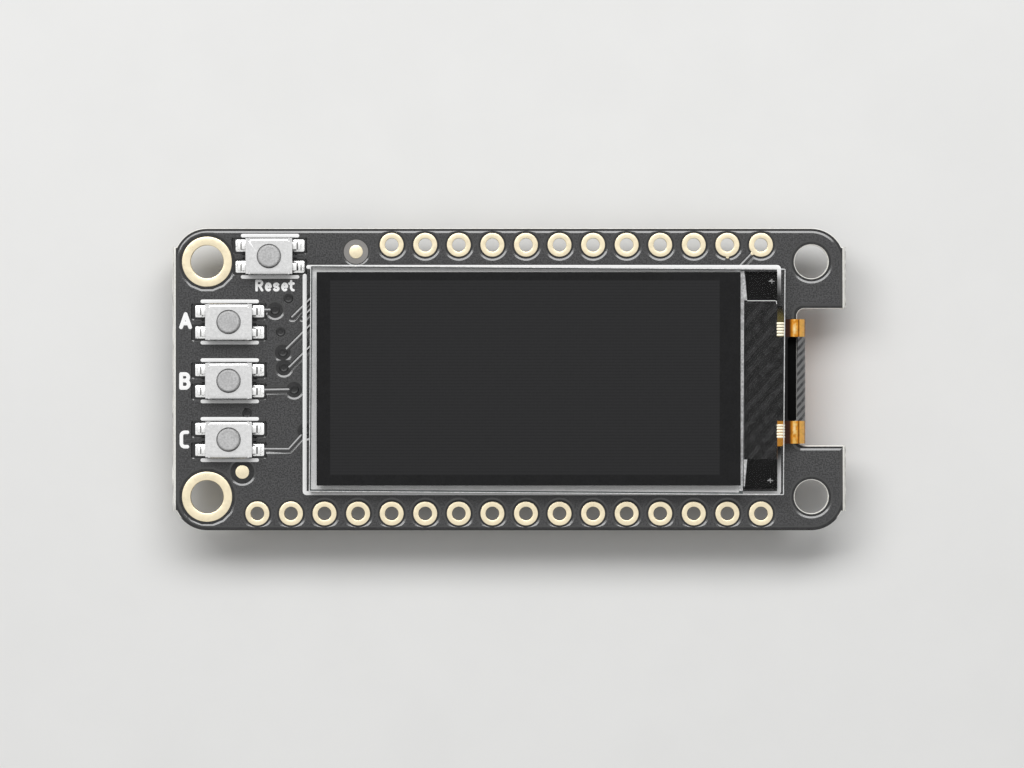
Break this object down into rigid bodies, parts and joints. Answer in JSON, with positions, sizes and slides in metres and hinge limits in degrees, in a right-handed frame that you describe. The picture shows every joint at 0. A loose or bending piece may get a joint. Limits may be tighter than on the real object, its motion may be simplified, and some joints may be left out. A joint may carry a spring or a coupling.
{
  "type": "display module",
  "caption": "Small rectangular circuit board with a flat glass display, a column of push switches and two rows of pin holes along its long sides.",
  "frame": {"origin": "centre of the four mounting holes on the board's underside", "axes": "+X towards the notched end, +Y towards the short pin row, +Z out of the display"},
  "size_m": [0.051, 0.0228, 0.0065],
  "materials": {
    "board_laminate": "matt black solder mask on glass laminate",
    "display_glass": "clear polished glass",
    "polariser": "dark smooth film",
    "foam": "soft black foam",
    "desiccant": "chalky white sheet",
    "silicon": "dark polished silicon",
    "flex_film": "amber film with black covered middle",
    "black_tape": "black film tape",
    "solder": "bright solder",
    "switch_steel": "bright stamped sheet",
    "switch_plastic": "black moulding",
    "plunger_plastic": "grey moulding",
    "spring_steel": "thin spring sheet",
    "tin": "tin plate",
    "socket_plastic": "black moulding",
    "chip_epoxy": "black epoxy",
    "capacitor_ceramic": "tan ceramic",
    "resistor_ceramic": "black glaze on ceramic"
  },
  "bodies": {
    "board": {"capacitor_bodies": "capacitor_ceramic", "capacitor_ends": "tin", "circuit_board": "board_laminate", "desiccant_sheet": "desiccant", "display_back_glass": "display_glass", "display_front_glass": "display_glass", "driver_chip": "silicon", "flex_cable": "flex_film", "flex_solder": "solder", "foam_tape": "foam", "ledge_tape": "black_tape", "polariser_film": "polariser", "reset_chip_body": "chip_epoxy", "reset_chip_leads": "tin", "resistor_bodies": "resistor_ceramic", "resistor_ends": "tin", "socket_contacts": "tin", "socket_housing": "socket_plastic", "socket_tabs": "tin", "switch_a_base": "switch_plastic", "switch_a_cover": "switch_steel", "switch_a_dome": "spring_steel", "switch_a_legs": "tin", "switch_b_base": "switch_plastic", "switch_b_cover": "switch_steel", "switch_b_dome": "spring_steel", "switch_b_legs": "tin", "switch_c_base": "switch_plastic", "switch_c_cover": "switch_steel", "switch_c_dome": "spring_steel", "switch_c_legs": "tin", "switch_reset_base": "switch_plastic", "switch_reset_cover": "switch_steel", "switch_reset_dome": "spring_steel", "switch_reset_legs": "tin", "switch_solder": "solder", "underside_solder": "solder"},
    "button_reset": {"switch_reset_plunger": "plunger_plastic"},
    "button_a": {"switch_a_plunger": "plunger_plastic"},
    "button_b": {"switch_b_plunger": "plunger_plastic"},
    "button_c": {"switch_c_plunger": "plunger_plastic"}
  },
  "joints": [
    {"name": "press_reset", "type": "slide", "parent": "board", "child": "button_reset", "axis": [0, 0, -1], "range_m": [0, 0.0002], "stiffness_N_per_m": 8000, "deforming": ["switch_reset_dome"]},
    {"name": "press_a", "type": "slide", "parent": "board", "child": "button_a", "axis": [0, 0, -1], "range_m": [0, 0.0002], "stiffness_N_per_m": 8000, "deforming": ["switch_a_dome"]},
    {"name": "press_b", "type": "slide", "parent": "board", "child": "button_b", "axis": [0, 0, -1], "range_m": [0, 0.0002], "stiffness_N_per_m": 8000, "deforming": ["switch_b_dome"]},
    {"name": "press_c", "type": "slide", "parent": "board", "child": "button_c", "axis": [0, 0, -1], "range_m": [0, 0.0002], "stiffness_N_per_m": 8000, "deforming": ["switch_c_dome"]}
  ]
}
